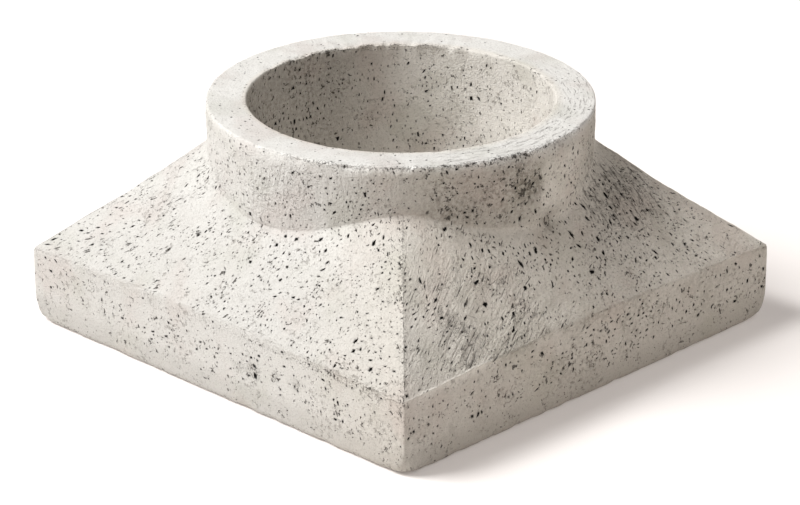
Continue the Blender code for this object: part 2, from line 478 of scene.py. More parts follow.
# %% Bites out of the edges
chips = layered_noise(grid, 9 * MM, 47, layers=2)
ragged = layered_noise(grid, 5 * MM, 51, layers=1)
bites = [  # how many millimetres, the height at which the noise is cut off, and the noise
    (on(arris=1) * (0.25 + 0.8 * left_side + 0.9 * near_end), 0.2, crumbs - 0.2),
    (on(rim_edge=1, mouth=0.5) * (0.25 + 2.8 * chipped_front), 0, chips + 0.05),
    (on(rim_edge=1, rim=0.1) * (0.1 + 2.4 * chipped_front), 0.15, ragged - 0.1),
    (on(foot=0.8), 0, chips - 0.1),
    (on(mouth=3.0) * back_lip, 0, chips + 0.15),
    (on(rim=1.1, mouth=2.2) * back_lip, 0.3, ragged),
    (crumbly * (0.9 - on(arris=0.9)), 0, ragged + 0.1),
]
for millimetres, cut_off, noise in bites:
    relief += millimetres * MM * np.minimum(cut_off, noise)

relief *= (row_names != "underside")[:, None]
skin = grid + relief[..., None] * normals_of(grid)
skin = np.clip(skin, *np.array(cad_box))
print(f"relief from {relief.min() / MM:.2f} to {relief.max() / MM:.2f} mm")

# %% [markdown]
# ## Masks for the finish
#
# Laitance, the white milk of cement, is left where paste was pressed to the top: on the rim, on the
# edges and on the slopes. The same mask also paints light: the collar and the bore's lit wall paler,
# the left slope under the light less pale, the smear and the lip paler still. The sides turned from
# the light get a painted warm tint, and painted shade darkens the collar's hollows and right side,
# the torn patch, the left arris, the right face and the bore's shaded wall. A few places are stained
# where the left face is scraped, and clouds of stain lie more on the shaded sides. Each mask is a
# number from 0 to 1 at every point.

# %% Painted shade, a painted warm tint and stains
LIT_TOWARDS = [-0.67, -0.74]  # where the light comes from, in plan
# Painted shade in the collar's hollows, on its right side and in the torn patch; on the right face
# and at the near end of the left face the patches are only darker.
DARKENED_PATCHES = {  # centres and reaches in millimetres, and how dark
    "hollows in and under the collar": [((146, -18, 156), 14, 0.85), ((148, 4, 121), 8, 0.7)],
    "right side of the collar": [
        ((145, -24, 177), 12, 0.4), ((122, -82, 154), 28, 0.4), ((127, -74, 136), 18, 0.35),
        ((139, -48, 150), 22, 0.25),
    ],
    "torn patch": [((141, 88, 122), 15, 0.4), ((149, 68, 115), 14, 0.3)],
    "right face": [((200, 71, 40), 9, 0.3), ((200, -5, 22), 16, 0.25), ((200, -190, 30), 22, 0.2)],
    "near end of the left face": [((185, -200, 25), 55, 0.16)],
}
to_light = heading @ LIT_TOWARDS
in_bore = np.isin(row_names, ["mouth", "bore", "outlet"])[:, None]
shaded = 1 - smooth_step(to_light, -0.3, 0.6)
# A warm tint painted as shade on the sides turned from the light, and over all of the bore.
shade_side_warmth = np.where(in_bore, 0.6, shaded * (1 - on(rim=1, rim_edge=1)))
clouded = smooth_step(layered_noise(grid, 34 * MM, 71), 0.0, 0.8)
clouded = clouded * on(face=1, collar=0.8, bore=0.7, slope=0.5)
# A darker line along the right arris, beyond the lip.
right_arris_line = on(arris=1) * right_side * (1 - lip) * smooth_step(smooth_noise(grid, 25 * MM, 73), -0.6, 0.2)
# Painted shade: the patches above, the left arris, the bore's wall turned from the light, the whole
# right face, and clouds that lie more on the shaded sides; real stains where the left face is
# scraped.
shade_and_stains = (
    0.4 * scraped + sum(dark * patch(centre, reach) for centre, reach, dark in rows_of(DARKENED_PATCHES))
    + 0.36 * clouded * shade_side_warmth + 0.6 * right_arris_line + on(arris=1) * left_side * (0.1 + 0.2 * near_end)
    + on(bore=0.42) * smooth_step(to_light, -0.1, 0.6) + on(face=0.18) * right_side
)
print(f"stained at most, before it is clipped: {shade_and_stains.max():.2f}")

# %% Laitance and painted light, and all masks together
# Laitance, with light painted in: paler on the collar towards the light and on the bore's lit wall,
# less pale on the left slope under the light, and paler still on the smear and the lip.
laitance_and_painted_light = (
    on(rim=0.66, rim_edge=0.55, mouth=0.6, slope=0.46, fillet=0.34, face=0.3)
    + on(rim_edge=0.4) * chipped_front - on(slope=0.2, fillet=0.14) * left_side
    + on(slope=0.3) * right_side * smooth_step(y, 30 * MM, 90 * MM) * (1 - torn)
    + on(slope=0.12) * right_side * by_near_hip + on(arris=1) * (0.35 + 0.65 * lip)
    + on(collar=1) * (0.05 + 0.3 * smooth_step(to_light, 0, 0.6))
    + on(bore=0.95) * smooth_step(-to_light, -0.5, 0.3) + 0.6 * smear
)
SCRATCHED_TOWARDS = [0.9, 0.2, 0]
MASKS = {
    "trowelled": trowelled,
    "torn": torn,
    "rim": on(rim=1) + np.zeros(COLUMNS),
    "scratched": on(rim=1) * smooth_step(grid @ SCRATCHED_TOWARDS, 30 * MM, 110 * MM),
    "wrinkled": wrinkled,
    "crumbly": crumbly,
    "cracked": on(slope=1, fillet=0.6) * right_side * smooth_step(-y, -10 * MM, 90 * MM) * uneven,
    "laitance_and_painted_light": np.clip(laitance_and_painted_light, 0, 1),
    "shade_side_warmth": shade_side_warmth,
    "shade_and_stains": np.clip(shade_and_stains, 0, 1) * (1 - smear),
}
for name, values in MASKS.items():
    print(f"{name}: {values.min():.2f} to {values.max():.2f}, mean {values.mean():.2f}")

# %% [markdown]
# ## Blowholes
#
# Trapped air leaves holes of 1 to 6 mm in a cast face, and grit that the trowel plucks out leaves
# longer ones on the slopes. They are what the eye meets first, so they are real holes in the mesh.
# A hole takes a block of two or more grid cells. The block's outline stays, and inside it come a
# ring for the hole's edge and a bowl, so the skin stays closed. Large holes are placed first. Each
# point also keeps how much painted shade its hole has there, darkest towards the hole's bottom.

# %% Where holes are likely
CROWDING = on(slope=1.35, fillet=1.1, collar=1.0, face=1.05, rim=0.4, bore=0.85)
CLUSTER_LENGTH = 20 * MM
CAMERA_TOWARDS = [0.7, -0.7]  # the sides that face away, and the bore's near wall, have fewer
NARROWEST_CELL = 1.1 * MM
SWARMS = {  # centres and reaches in millimetres
    "left face": [((46, -200, 33), 7), ((91, -200, 37), 5), ((131, -200, 30), 6)],
    "left side of the collar": [
        ((6, -147, 155), 5), ((24, -145, 139), 6), ((59, -135, 143), 6), ((84, -121, 146), 6),
    ],
    "the collar's two hollows": [((146, -14, 151), 9), ((148, 4, 121), 7)],
    "bore": [((-115, -17, 139), 6), ((-116, 11, 130), 6), ((-108, 43, 111), 5)],
    "right slope": [((183, -75, 80), 9), ((160, -140, 97), 10)],
}
rng = np.random.default_rng(7)
cell_wide = np.linalg.norm(np.roll(skin, -1, axis=1) - skin, axis=2)
cell_high = np.linalg.norm(np.roll(skin, -1, axis=0) - skin, axis=2)
clustering = np.exp(2.0 * layered_noise(skin, CLUSTER_LENGTH, 61, layers=2))
swarming = sum(patch(centre, reach) for centre, reach in rows_of(SWARMS))
crumbling = near_end * np.exp(-(((z - EDGE_HEIGHT - 3 * MM) / (5 * MM)) ** 2))
facing_camera = smooth_step(heading @ CAMERA_TOWARDS, -0.3, 0.3)
seen = np.where(row_names[:, None] == "bore", 1 - 0.5 * facing_camera, 0.5 + 0.5 * facing_camera)
crowded = 1 + 3 * torn + 8 * swarming + 5 * crumbling + (1.1 + on(face=0.6)) * right_side
open_rows = np.isin(row_names, ["face", "slope", "fillet", "collar", "rim", "bore"])
creased = (row_names == "fillet")[:, None] & (fillet < 8 * MM)  # a hole would bridge the crease
cell_ok = open_rows[:, None] & ~creased
expected = CROWDING * clustering * seen * crowded * (cell_wide * cell_high)
expected = np.where(cell_ok & (cell_wide > NARROWEST_CELL), expected, 0)
print("cells that may hold a hole:", np.count_nonzero(expected))

# %% Choose the holes
HOLES = 9000
MEDIAN_RADIUS = 0.45 * MM
SMALLEST_RADIUS = 0.28 * MM
LARGEST_RADIUS = 1.15 * MM
ON_THE_RIGHT = 0.25  # holes there are larger by this share
IN_SWARMS = 0.5  # and in swarms by this one

order = rng.choice(expected.size, HOLES, replace=False, p=(expected / expected.sum()).ravel())
rows, columns = np.unravel_index(order, expected.shape)
on_slope = trowelled[rows, 0] > 0.7
larger = 1 + ON_THE_RIGHT * right_side + IN_SWARMS * np.minimum(1, swarming)
larger = larger * np.exp(0.35 * smooth_noise(skin, 2 * CLUSTER_LENGTH, 67))
spread = np.exp(0.42 * rng.standard_normal(HOLES)) * larger[rows, columns]
radius = np.clip(MEDIAN_RADIUS * spread, SMALLEST_RADIUS, LARGEST_RADIUS)
stretch = np.where(on_slope, rng.uniform(1.1, 3.0, HOLES), rng.uniform(1.0, 2.5, HOLES))
slant = on(slope=1, fillet=1) * (0.7 * left_side + right_side * (0.3 + 0.65 * by_near_hip))
slant = slant + on(collar=0.45, bore=0.45)
lean = slant[rows, columns] + np.where(on_slope, 0.45, 1.0) * rng.standard_normal(HOLES)
depth = radius * rng.uniform(0.9, 1.7, HOLES)
print(f"median radius {np.median(radius) / MM:.2f} mm, mean stretch {stretch.mean():.2f}")

# %% Add the large holes that stand out
BIG_HOLES = {  # a mark's place and radius in millimetres, and how many times longer it is
    "right slope, from the near hip on": [
        ((152, -128, 105), 2.6, 1.2), ((162, -143, 94), 1.9, 1.3), ((134, -96, 125), 1.9, 1.1),
        ((171, -89, 91), 3.0, 1.2), ((150, -53, 115), 2.4, 1.4), ((174, -48, 90), 2.0, 1.7),
        ((177, -65, 86), 1.7, 2.1), ((183, -71, 79), 1.8, 1.1), ((190, -80, 72), 2.2, 2.0),
        ((179, 15, 85), 2.0, 1.8), ((193, 20, 70), 2.6, 1.2),
    ],
    "left slope": [
        ((4, -156, 111), 2.0, 1.6), ((9, -166, 99), 1.9, 1.4), ((39, -148, 121), 2.0, 1.3),
        ((42, -161, 104), 1.8, 2.2),
    ],
    "left face": [((44, -200, 42), 1.6, 1.3), ((48, -200, 30), 2.6, 1.5)],
    "bore": [((-31, 112, 143), 2.4, 1.1), ((-116, 1, 134), 2.0, 1.4), ((-109, 40, 112), 2.2, 1.3)],
    "collar": [((82, -122, 159), 1.7, 2.0)],
}
HOLE_IN_MARK = 0.72  # a hole's radius is this share of the radius of the dark mark it makes
places = np.array([place for place, *_ in rows_of(BIG_HOLES)]) * MM
distance = np.linalg.norm(skin[:, :, None] - places, axis=3).reshape(-1, len(places))
big_rows, big_columns = np.unravel_index(distance.argmin(axis=0), skin.shape[:2])
big_radius, big_stretch = np.array([shape for _, *shape in rows_of(BIG_HOLES)]).T
big_radius *= HOLE_IN_MARK
rows = np.concatenate([big_rows, rows])
columns = np.concatenate([big_columns, columns])
radius = np.concatenate([big_radius * MM, radius])
stretch = np.concatenate([big_stretch, stretch])
lean = np.concatenate([0.5 * rng.standard_normal(len(places)), lean])
depth = np.concatenate([0.9 * big_radius * MM, depth])
print("holes to place:", len(radius))

# %% Give each hole a free block of cells
ROOM = 1.3  # a block is this much larger than its hole
MOST_CELLS = 6
half_wide = radius * np.hypot(stretch * np.sin(lean), np.cos(lean))
half_high = radius * np.hypot(stretch * np.cos(lean), np.sin(lean))
blocks_wide = np.ceil(2 * ROOM * half_wide / cell_wide[rows, columns]).astype(int)
blocks_high = np.ceil(2 * ROOM * half_high / cell_high[rows, columns]).astype(int)
taken = ~cell_ok
placed = []
for k in np.argsort(-radius * stretch, kind="stable"):
    wide, high = min(blocks_wide[k], MOST_CELLS), min(blocks_high[k], MOST_CELLS)
    if wide * high == 1:
        narrow = cell_wide[rows[k], columns[k]] < cell_high[rows[k], columns[k]]
        wide, high = (2, 1) if narrow else (1, 2)
    row_span = (rows[k] - high // 2 + np.arange(high)) % ROWS
    column_span = (columns[k] - wide // 2 + np.arange(wide)) % COLUMNS
    cells = np.ix_(row_span, column_span)
    if not taken[cells].any():
        taken[cells] = True
        placed.append((k, row_span[0], column_span[0], high, wide))
placed = np.array(placed)
print("holes placed:", len(placed))

# %% Everything that a point carries
# The hole mask is the painted shade inside the holes.
MASKS["hole"] = np.zeros((ROWS, COLUMNS))  # it comes last, and cut_holes fills it
masks = np.stack(list(MASKS.values()), axis=2)
channels = np.concatenate([skin, normals_of(skin), on_plane, on_cylinder, masks], axis=2)
channels = channels.reshape(ROWS * COLUMNS, -1)
NORMAL = slice(3, 6)
ON_PLANE = slice(6, 9)
ON_CYLINDER = slice(9, 12)
FIRST_MASK = 12


def point_index(row, column):
    """The number of a grid point. Rows and columns both close on themselves."""
    return row % ROWS * COLUMNS + column % COLUMNS


def surface_at(place):
    """All channels at fractional rows and columns, blended from the four grid points round them."""
    first = np.floor(place).astype(int)
    s, t = np.moveaxis(place - first, -1, 0)[..., None]
    r, c = np.moveaxis(first, -1, 0)
    low = channels[point_index(r, c)] * (1 - t) + channels[point_index(r, c + 1)] * t
    high = channels[point_index(r + 1, c)] * (1 - t) + channels[point_index(r + 1, c + 1)] * t
    return low * (1 - s) + high * s


print("points and channels:", *channels.shape)

# %% Triangles between rings


def block_outline(high, wide):
    """Steps of row and column round a block, anticlockwise seen from outside."""
    right = [(0, c) for c in range(wide)] + [(r, wide) for r in range(high)]
    left = [(high, c) for c in range(wide, 0, -1)] + [(r, 0) for r in range(high, 0, -1)]
    return np.array(right + left)


def band(outer, inner):
    """Triangles between two rings of indices with as many points, the outer one first."""
    outer_next, inner_next = np.roll(outer, -1, axis=1), np.roll(inner, -1, axis=1)
    first_half = np.stack([outer, outer_next, inner_next], axis=2)
    second_half = np.stack([outer, inner_next, inner], axis=2)
    return np.concatenate([first_half, second_half], axis=1).reshape(-1, 3)


def fan(ring_index, centre):
    """Triangles from a ring of indices to its centre."""
    middle = np.broadcast_to(centre, ring_index.shape)
    return np.stack([ring_index, np.roll(ring_index, -1, axis=1), middle], axis=2).reshape(-1, 3)


print("steps round a block of two cells:", block_outline(1, 2).tolist())

# %% The shape of a hole
BOWL_FROM_CELLS = 6  # smaller holes are plain pits without a ring between edge and bottom
BOWL_WIDTH = 0.72  # that ring's share of the edge's size, and of the hole's depth
BOWL_DEPTH = 0.75
# The painted shade in a hole:
PALEST_HOLE = 0.4  # how dark a hole's bottom is, from 0 to 1, differs from hole to hole
EDGE_SHARE = 0.5  # its edge is this much as dark, and its wall this much
WALL_SHARE = 0.85
CLEARANCE = 1.15  # a hole wanders in its block as if it were this many times its size
EDGE_MARGIN = 0.04
RAGGED_REACH = (0.5, 1.3)  # an edge point draws its share of the ellipse's reach between these
MOST_OF_BLOCK = 0.9  # how much of the way to the block's outline an edge may come


def cut_holes(group, high, wide, first_free):
    """Channels of the new points and the triangles of all holes with one size of block. A hole is an
    ellipse about a centre, and each point of its ragged edge lies on the line from there to a point
    of the block's outline."""
    k, row, column = group[:, 0], group[:, 1], group[:, 2]
    cells = np.array([high, wide])
    size = cells * np.stack([cell_high[row, column], cell_wide[row, column]], axis=1)
    half = np.stack([half_high[k], half_wide[k]], axis=1)
    slack = np.clip(0.5 - CLEARANCE * half / size, EDGE_MARGIN, 0.5) - EDGE_MARGIN
    centre = (0.5 + rng.uniform(-1, 1, slack.shape) * slack)[:, None]

    around = block_outline(high, wide)
    away = (around / cells - centre) * size[:, None]
    angle = np.arctan2(away[..., 1], away[..., 0]) - lean[k][:, None]
    long, short = (radius * stretch)[k][:, None], radius[k][:, None]
    reach = 1 / np.hypot(np.cos(angle) / long, np.sin(angle) / short)
    reach *= rng.uniform(*RAGGED_REACH, reach.shape)
    share = np.minimum(reach / np.linalg.norm(away, axis=2), MOST_OF_BLOCK)[..., None]

    corner = np.stack([row, column], axis=1)[:, None]
    edge = surface_at(corner + cells * centre + share * (around - cells * centre))
    middle = surface_at(corner + cells * centre)
    sink = np.zeros_like(middle)
    sink[..., :3] = middle[..., NORMAL] * depth[k][:, None, None]
    bottom = (middle - sink)[:, 0]
    # the painted shade of each hole
    dark = rng.uniform(PALEST_HOLE, 1, len(k))
    edge[..., -1] = EDGE_SHARE * dark[:, None]
    bottom[:, -1] = dark
    rings = [edge]
    if high * wide >= BOWL_FROM_CELLS:
        bowl = middle + BOWL_WIDTH * (edge - middle) - BOWL_DEPTH * sink
        bowl[..., -1] = WALL_SHARE * dark[:, None]
        rings.append(bowl)

    rings = np.array(rings)
    number = first_free + np.arange(rings[..., 0].size).reshape(rings.shape[:3])
    bottom_number = first_free + number.size + np.arange(len(k))[:, None]
    outline = point_index(row[:, None] + around[:, 0], column[:, None] + around[:, 1])
    loops = [outline, *number]
    faces = [band(outer, inner) for outer, inner in zip(loops, loops[1:])]
    faces.append(fan(loops[-1], bottom_number))
    new = np.concatenate([rings.reshape(-1, rings.shape[-1]), bottom])
    return new, np.concatenate(faces)


# %% Cut the holes into the grid
points = [channels]
triangles = []
total = len(channels)
for high, wide in np.unique(placed[:, 3:], axis=0):
    group = placed[(placed[:, 3] == high) & (placed[:, 4] == wide)]
    new, faces = cut_holes(group, int(high), int(wide), total)
    points.append(new)
    triangles.append(faces)
    total += len(new)
points, triangles = np.concatenate(points), np.concatenate(triangles)

taken &= cell_ok  # the cells that were closed to holes are plain quads too
row, column = np.nonzero(~taken)
quads = point_index(row[:, None] + [0, 0, 1, 1], column[:, None] + [0, 1, 1, 0])
print("quads:", len(quads), "- triangles round and in holes:", len(triangles))

# %% [markdown]
# ## Into Blender
#
# The arrays go into the mesh with foreach_set, which copies them whole. Points that lay inside a
# block are used no more and are dropped. The drawn coordinates and the masks travel along for the
# material.

# %% Build the mesh
SMOOTH_ANGLE = math.radians(38)  # an edge that bends further stays sharp


def show(name, data):
    """Make an object of a mesh, a light or a camera, and put it into the scene."""
    made = bpy.data.objects.new(name, data)
    bpy.context.scene.collection.objects.link(made)
    return made


corners_used = np.concatenate([quads.ravel(), triangles.ravel()])
used, renumbered = np.unique(corners_used, return_inverse=True)
quad_starts = 4 * np.arange(len(quads))
triangle_starts = quads.size + 3 * np.arange(len(triangles))
loop_starts = np.concatenate([quad_starts, triangle_starts])
mesh = bpy.data.meshes.new("column_base_block_skin")
mesh.vertices.add(len(used))
mesh.vertices.foreach_set("co", points[used, :3].ravel())
mesh.loops.add(len(renumbered))
mesh.loops.foreach_set("vertex_index", renumbered.astype(np.int32))
mesh.polygons.add(len(loop_starts))
mesh.polygons.foreach_set("loop_start", loop_starts.astype(np.int32))
mesh.update(calc_edges=True)
mesh.shade_smooth()
mesh.set_sharp_from_angle(angle=SMOOTH_ANGLE)

piece = show("column_base_block_skin", mesh)
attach(piece, "root")
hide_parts(NODE)
print("invalid geometry found:", mesh.validate(verbose=False))
print("vertices:", len(mesh.vertices), "triangles:", 2 * len(quads) + len(triangles))

# %% Give the mesh its drawn coordinates and masks


def keep(name, kind, field, values):
    """Store a value for each point of the mesh as a named attribute."""
    attribute = mesh.attributes.new(name, kind, "POINT")
    attribute.data.foreach_set(field, np.ascontiguousarray(values, np.float32).ravel())


keep("on_plane", "FLOAT_VECTOR", "vector", points[used, ON_PLANE])
keep("on_cylinder", "FLOAT_VECTOR", "vector", points[used, ON_CYLINDER])
for channel, name in enumerate(MASKS, start=FIRST_MASK):
    keep(name, "FLOAT", "value", points[used, channel])
print("attributes:", *mesh.attributes.keys())

# %% [markdown]
# ## Cast concrete
#
# Grey-white cement with fine sand, cast against boards and trowelled by hand. It gives the eye a
# dry, chalky face without a shine: a broad cloudiness from damp and laitance, a fine sandy grain,
# and holes painted nearly black as shade, because light doesn't come back out of them.

# %% Colours and pattern sizes


def linear(hex_colour):
    """An sRGB hex colour as linear red, green and blue with full alpha."""
    shares = [int(hex_colour[i:i + 2], 16) / 255 for i in (1, 3, 5)]
    return (*[s / 12.92 if s <= 0.04045 else ((s + 0.055) / 1.055) ** 2.4 for s in shares], 1.0)


CEMENT = linear("#BBB9B4")
LAITANCE = linear("#E6E5E1")
PINK_CLOUD = linear("#BFB4AE")
GREEN_CLOUD = linear("#B4B4A9")
SAND = linear("#77716A")
# painted shade for specks, pocks, cracks, tears and crumbs
CREVICE_SHADE = linear("#3B3731")
# painted shade inside the holes
HOLE_SHADE = linear("#0D0B09")
# painted shade: a warm tint for the sides turned from the light
SHADE_SIDE_TINT = linear("#FFFAF3")
# painted shade and stains, in one tint
SHADE_AND_STAIN_TINT = linear("#B9B5B0")
CLOUD = 45 * MM
MOTTLE = 9 * MM
GRAIN = 1.5 * MM  # sand grains of half a millimetre, drawn three times as coarse to show here
SPECK_SPACING = 2.9 * MM
POCK = 3.4 * MM
SCUFF = 3.2 * MM
SCUFF_PATCH = 24 * MM
WRINKLE = 4.2 * MM
CRACKLE = 7 * MM
TEAR = 2.2 * MM
SCRATCH = 2.0 * MM
print("cement as linear colour:", *(f"{share:.3f}" for share in CEMENT[:3]))

# %% The material, and the one helper for its nodes


def material(name, **settings):
    """A material and its Principled shader, with these constant inputs."""
    made = bpy.data.materials.new(name)
    made.use_nodes = True
    shader = made.node_tree.nodes["Principled BSDF"]
    for socket, value in settings.items():
        shader.inputs[socket.replace("_", " ")].default_value = value
    return made, shader


concrete, shader = material("cast_concrete", IOR=1.5, Specular_IOR_Level=0.25, Metallic=0.0)
tree = concrete.node_tree


def add(kind, settings, *values, tree=tree):
    """Add a node and set its properties. The values then go one by one into the sockets that these
    leave open: a socket is linked, a node lends its first open output, a constant is set, and None
    leaves a socket as it is."""
    made = tree.nodes.new("ShaderNode" + kind)
    for name, value in settings.items():
        setattr(made, name, value)
    for socket, value in zip([socket for socket in made.inputs if socket.enabled], values):
        if isinstance(value, bpy.types.Node):
            value = next(output for output in value.outputs if output.enabled)
        if isinstance(value, bpy.types.NodeSocket):
            tree.links.new(value, socket)
        elif value is not None:
            socket.default_value = value
    return made


EASED = {"interpolation_type": "SMOOTHSTEP"}  # Map Range: a value, its range, and the new range
PLUS = {"operation": "ADD"}
MINUS = {"operation": "SUBTRACT"}
TIMES = {"operation": "MULTIPLY"}
LARGER = {"operation": "MAXIMUM"}
MIXED = {"data_type": "RGBA"}  # Mix: a factor, the colour at 0 and the colour at 1
TINTED = {"data_type": "RGBA", "blend_type": "MULTIPLY"}

where = add("TexCoord", {}).outputs["Object"]
mask = {name: add("Attribute", {"attribute_name": name}).outputs["Fac"] for name in MASKS}
plane_at = add("Attribute", {"attribute_name": "on_plane"}).outputs["Vector"]
cylinder_at = add("Attribute", {"attribute_name": "on_cylinder"}).outputs["Vector"]
print("the material reads these masks:", *mask)

# %% Noises of the concrete


def following_trowel(space, size):
    """Ragged noise in a space, but along the strokes where a trowel went over. Each is worked out in
    its own space before they mix, because a mix of the spaces would smear the noise."""
    plain, drawn = [
        add("TexNoise", {}, at, 1 / size, 3.0, 0.6, None, 0.4) for at in (space, along_strokes)
    ]
    return add("Mix", {}, mask["trowelled"], plain, drawn)


along_strokes = add("Mapping", {}, plane_at, None, None, (1, 1, 0.8))
down_collar = add("Mapping", {}, cylinder_at, None, None, (1, 1, 0.4))
turned_over = add("Mapping", {}, where, None, None, (1, 1, -1))
down_slope = add("Mapping", {}, where, None, None, (0.3, 1, 0.3))
round_rim = add("Mapping", {}, cylinder_at, None, None, (0.12, 0.12, 1))

cloud = add("TexNoise", {}, where, 1 / CLOUD, 3.0)
second_cloud = add("TexNoise", {}, turned_over, 1 / CLOUD, 2.0)
mottle = add("TexNoise", {}, where, 1 / MOTTLE, 4.0, 0.6)
grain = add("TexNoise", {}, where, 1 / GRAIN, 2.0, 0.6)
scuff = add("TexNoise", {}, where, 1 / SCUFF, 3.0, 0.6)
scuff_patch = add("TexNoise", {}, where, 1 / SCUFF_PATCH, 2.0)
pock_patch = add("TexNoise", {}, where, 1 / (0.6 * SCUFF_PATCH), 2.0)
pebbles = add("TexNoise", {}, where, 1 / (0.7 * WRINKLE), 3.0, 0.6, None, 0.3)
tear = add("TexNoise", {}, down_slope, 1 / TEAR, 3.0, 0.6, None, 0.3)
scratch = add("TexNoise", {}, round_rim, 1 / SCRATCH, 3.0, 0.6, None, 0.2)
pock = following_trowel(where, POCK)
wrinkle = following_trowel(down_collar, WRINKLE)
print("nodes up to here:", len(tree.nodes))

# %% [markdown]
# Beside the near hip the trowel tore the skin of the right slope, and it dried in a net of short
# cracks, darkened with painted shade. They are the edges between Voronoi cells, pushed about by
# noise, and show in patches only.

# %% Net of cracks


def frayed(space, size, amount):
    """A space pushed about by noise, so that round cells in it come out ragged."""
    push = add("TexNoise", {}, space, 1 / size, 2.0).outputs["Color"]
    return add("VectorMath", {"operation": "MULTIPLY_ADD"}, push, (amount,) * 3, space)


ragged_strokes = frayed(along_strokes, 5 * MM, 7 * MM)
crack_cells = add("TexVoronoi", {"feature": "DISTANCE_TO_EDGE"}, ragged_strokes, 1 / CRACKLE)
crackle = add("MapRange", EASED, crack_cells, 0.0, 0.075, 1.0, 0.0)
crackle = add("Math", TIMES, crackle, add("MapRange", EASED, pock_patch, 0.40, 0.55))
crackle = add("Math", TIMES, crackle, mask["cracked"])
print(f"cracks part pieces of about {CRACKLE / MM:.0f} mm")

# %% [markdown]
# Beside the collar the trowel plucked grit down the slope and left tears, darkened with painted
# shade. On the rim it turned round with the ring, so its scratches run round it too. Both are noise
# that is stretched one way. Scuffs are soft grey marks where the skin was rubbed.

# %% Tears, scratches and scuffs
torn_here = add("MapRange", EASED, mask["torn"], 0.10, 0.75)
tears = add("Math", TIMES, add("MapRange", EASED, tear, 0.52, 0.64), torn_here)
scratches = add("Math", TIMES, add("MapRange", EASED, scratch, 0.56, 0.66), mask["scratched"])
in_scuff_patch = add("MapRange", EASED, scuff_patch, 0.42, 0.62)
scuffs = add("Math", TIMES, add("MapRange", EASED, scuff, 0.52, 0.70), in_scuff_patch)
scuffs = add("Math", TIMES, scuffs, add("MapRange", EASED, mask["rim"], 0, 1, 1, 0.2))
print("nodes up to here:", len(tree.nodes))

# %% [markdown]
# Besides the real holes there are pocks and specks too small for the mesh, coloured with painted
# shade. A pock is a ragged mark where noise passes a high threshold, lower in patches and where the
# skin has painted shade or stains, is crumbly or wrinkled, where the pocks also stand in for the
# shadows of its roughness. Crumbs of the sandy grain show dark with painted shade along the edges
# that crumbled.

# %% Pocks, specks and crumbs


def specks(space, spacing, threshold, largest):
    """Specks in the cells of a Voronoi pattern: each cell draws its own radius, up to a share of the
    spacing, and cells that draw less than the threshold have none. They thin out between patches."""
    cells = add("TexVoronoi", {}, space, 1 / spacing)
    chance = add("SeparateColor", {}, cells.outputs["Color"])
    few_on_rim = add("MapRange", EASED, mask["rim"], 0, 1, 1, 0.6)
    amount = add("Math", TIMES, add("MapRange", EASED, pock_patch, 0.38, 0.6, 0.4, 1.0), few_on_rim)
    amount = add("Math", TIMES, amount, add("MapRange", EASED, mask["trowelled"], 0, 1, 0.8, 1))
    radius = add("MapRange", EASED, chance, threshold, 1.0, 0.0, largest)
    inside = add("Math", MINUS, add("Math", TIMES, radius, amount), cells.outputs["Distance"])
    return add("MapRange", EASED, inside, -0.01, 0.05)


plain_specks, drawn_specks = [
    specks(frayed(space, 2.2 * MM, 1.6 * MM), SPECK_SPACING, 0.35, 0.26)
    for space in (where, along_strokes)
]
fine_specks = add("Mix", {}, mask["trowelled"], plain_specks, drawn_specks)
pricks = specks(frayed(where, 1.6 * MM, 1.2 * MM), 0.7 * SPECK_SPACING, 0.32, 0.32)
pricks = add("Math", TIMES, pricks, add("MapRange", EASED, mask["wrinkled"], 0.25, 0.7))
fine_specks = add("Math", LARGER, fine_specks, pricks)

POCKS_GROW_WITH = [
    (mask["shade_and_stains"], 0, 1, 0, 0.09),
    (mask["crumbly"], 0, 1, 0, 0.08),
    (mask["rim"], 0, 1, 0, -0.06),
    (mask["wrinkled"], 0.25, 0.8, 0, 0.03),
]
growth = add("MapRange", EASED, pock_patch, 0.40, 0.62, -0.035, 0.025)
for row in POCKS_GROW_WITH:
    growth = add("Math", PLUS, growth, add("MapRange", EASED, *row))
pocks = add("MapRange", EASED, add("Math", PLUS, pock, growth), 0.635, 0.70)
dark_crumbs = add("Math", TIMES, add("MapRange", EASED, grain, 0.46, 0.60), mask["crumbly"])
print("nodes up to here:", len(tree.nodes))

# %% Colour of the concrete


def coated(base, coats):
    """Lay colours over a base in turn. A row is a colour, the value it follows, where that value
    starts and ends, and how much the colour covers at the end."""
    for colour, value, start, end, most in coats:
        cover = add("MapRange", EASED, value, start, end, 0.0, most)
        base = add("Mix", MIXED, cover, base, colour)
    return base


# laitance and painted light, between the cement and laitance colours
base = coated(add("Mix", MIXED, mask["laitance_and_painted_light"], CEMENT, LAITANCE), [
    (PINK_CLOUD, cloud, 0.48, 0.70, 0.40),
    (GREEN_CLOUD, second_cloud, 0.50, 0.72, 0.35),
    (CEMENT, mottle, 0.35, 0.70, 0.25),
    (SAND, grain, 0.50, 0.75, 0.30),
    (SAND, scuffs, 0, 1, 0.45),
    # painted shade in the cracks
    (CREVICE_SHADE, crackle, 0, 1, 0.50),
    (SAND, scratches, 0, 1, 0.22),
])
# the warm tint of painted shade on the sides turned from the light
base = add("Mix", TINTED, mask["shade_side_warmth"], base, SHADE_SIDE_TINT)
# painted shade and stains, broken up by the scuff noise
blotch = add("Math", TIMES, mask["shade_and_stains"], add("MapRange", EASED, scuff, 0.38, 0.58, 0.35, 1.0))
base = add("Mix", TINTED, blotch, base, SHADE_AND_STAIN_TINT)
